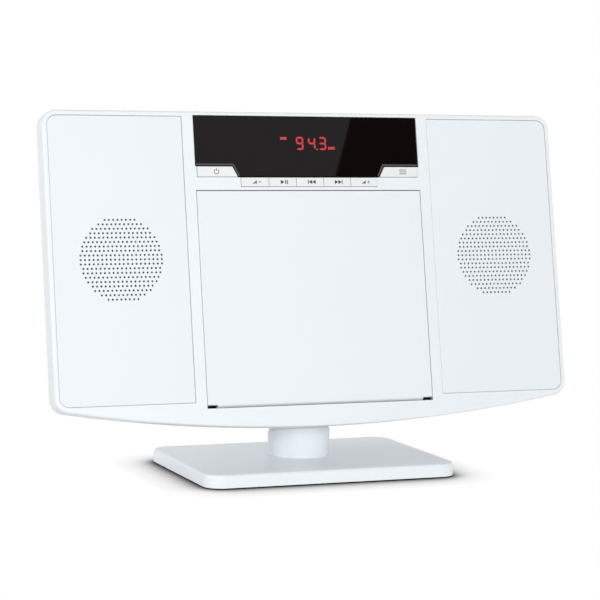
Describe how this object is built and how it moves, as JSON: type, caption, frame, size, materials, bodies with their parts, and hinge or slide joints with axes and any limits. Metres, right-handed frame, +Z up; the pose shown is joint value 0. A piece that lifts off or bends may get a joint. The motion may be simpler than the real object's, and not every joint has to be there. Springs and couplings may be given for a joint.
{
  "type": "radio cd player",
  "caption": "White radio CD player with grilled speaker panels beside a drop-down disc door and a dark display, leaning back on a round neck and flat foot.",
  "frame": {"origin": "centre of the stand's footprint on the table", "axes": "+Z up, +X to the user's right as they face the display, the display faces -Y"},
  "size_m": [0.42, 0.1433, 0.2768],
  "materials": {
    "white_shell": "satin",
    "white_panel": "satin",
    "white_key": "satin",
    "dark_window": "gloss",
    "black_plastic": "matte",
    "gear_plastic": "matte",
    "steel": "brushed",
    "screw_steel": "blackened",
    "cast_weight": "raw",
    "soft_rubber": "matte",
    "board": "satin",
    "capacitor": "sleeved",
    "heatsink": "anodised",
    "basket": "satin",
    "cone": "matte",
    "magnet": "matte",
    "lens": "clear"
  },
  "bodies": {
    "cabinet": {"front_cabinet": "white_shell", "rear_cover": "white_shell", "stand_neck": "white_shell", "stand_base": "white_shell", "left_speaker_panel": "white_panel", "right_speaker_panel": "white_panel", "display_window": "dark_window", "disc_well": "black_plastic", "mech_chassis": "black_plastic", "latch_housing": "black_plastic", "power_inlet": "black_plastic", "aux_socket": "black_plastic", "key_switches": "black_plastic", "display_module": "black_plastic", "guide_rods": "steel", "spindle_motor": "steel", "sled_motor": "steel", "rear_cover_screws": "screw_steel", "neck_screws": "screw_steel", "well_screws": "screw_steel", "mech_screws": "screw_steel", "driver_screws": "screw_steel", "key_board_screws": "screw_steel", "board_screws": "screw_steel", "base_screws": "screw_steel", "base_weight": "cast_weight", "rubber_feet": "soft_rubber", "mech_dampers": "soft_rubber", "driver_gaskets": "soft_rubber", "key_board": "board", "main_board": "board", "board_capacitors": "capacitor", "amplifier_heatsink": "heatsink", "left_driver_basket": "basket", "right_driver_basket": "basket", "left_driver_cone": "cone", "right_driver_cone": "cone", "left_driver_magnet": "magnet", "right_driver_magnet": "magnet"},
    "door": {"disc_door": "white_panel", "door_hinge_pins": "steel", "door_striker": "steel"},
    "turntable": {"turntable_hub": "black_plastic", "hub_balls": "steel"},
    "sled": {"pickup_sled": "black_plastic", "pickup_lens": "lens"},
    "idler": {"sled_idler_gear": "gear_plastic"},
    "pinion": {"sled_pinion": "gear_plastic"},
    "latch": {"latch_plunger": "black_plastic"},
    "standby_key_body": {"standby_key": "white_key"},
    "volume_down_key_body": {"volume_down_key": "white_key"},
    "play_key_body": {"play_key": "white_key"},
    "previous_key_body": {"previous_key": "white_key"},
    "next_key_body": {"next_key": "white_key"},
    "volume_up_key_body": {"volume_up_key": "white_key"},
    "mode_key_body": {"mode_key": "white_key"}
  },
  "joints": [
    {"name": "door_hinge", "type": "hinge", "parent": "cabinet", "child": "door", "pos_m": [0, -0.03811, 0.05884], "axis": [1, 0, 0], "range_deg": [0, 85]},
    {"name": "turntable_spin", "type": "hinge", "parent": "cabinet", "child": "turntable", "pos_m": [0, -0.01265, 0.13472], "axis": [0, 0.9806, -0.1959], "continuous": true},
    {"name": "sled_slide", "type": "slide", "parent": "cabinet", "child": "sled", "axis": [1, 0, 0], "range_m": [0, 0.033]},
    {"name": "idler_turn", "type": "hinge", "parent": "cabinet", "child": "idler", "pos_m": [0.04, -0.00136, 0.10187], "axis": [0, 0.9806, -0.1959], "continuous": true},
    {"name": "pinion_turn", "type": "hinge", "parent": "cabinet", "child": "pinion", "pos_m": [0.0285, -0.00136, 0.10187], "axis": [0, 0.9806, -0.1959], "continuous": true},
    {"name": "latch_push", "type": "slide", "parent": "cabinet", "child": "latch", "axis": [0, 0.9806, -0.1959], "range_m": [0, 0.0015], "stiffness_N_per_m": 300},
    {"name": "standby_press", "type": "slide", "parent": "cabinet", "child": "standby_key_body", "axis": [0, 0.9806, -0.1959], "range_m": [0, 0.0008], "stiffness_N_per_m": 400},
    {"name": "volume_down_press", "type": "slide", "parent": "cabinet", "child": "volume_down_key_body", "axis": [0, 0.9806, -0.1959], "range_m": [0, 0.0008], "stiffness_N_per_m": 400},
    {"name": "play_press", "type": "slide", "parent": "cabinet", "child": "play_key_body", "axis": [0, 0.9806, -0.1959], "range_m": [0, 0.0008], "stiffness_N_per_m": 400},
    {"name": "previous_press", "type": "slide", "parent": "cabinet", "child": "previous_key_body", "axis": [0, 0.9806, -0.1959], "range_m": [0, 0.0008], "stiffness_N_per_m": 400},
    {"name": "next_press", "type": "slide", "parent": "cabinet", "child": "next_key_body", "axis": [0, 0.9806, -0.1959], "range_m": [0, 0.0008], "stiffness_N_per_m": 400},
    {"name": "volume_up_press", "type": "slide", "parent": "cabinet", "child": "volume_up_key_body", "axis": [0, 0.9806, -0.1959], "range_m": [0, 0.0008], "stiffness_N_per_m": 400},
    {"name": "mode_press", "type": "slide", "parent": "cabinet", "child": "mode_key_body", "axis": [0, 0.9806, -0.1959], "range_m": [0, 0.0008], "stiffness_N_per_m": 400}
  ],
  "couplings": [
    {"joint": "idler_turn", "follows": "sled_slide", "rad_per_m": 333.33},
    {"joint": "pinion_turn", "follows": "sled_slide", "rad_per_m": -1200}
  ]
}
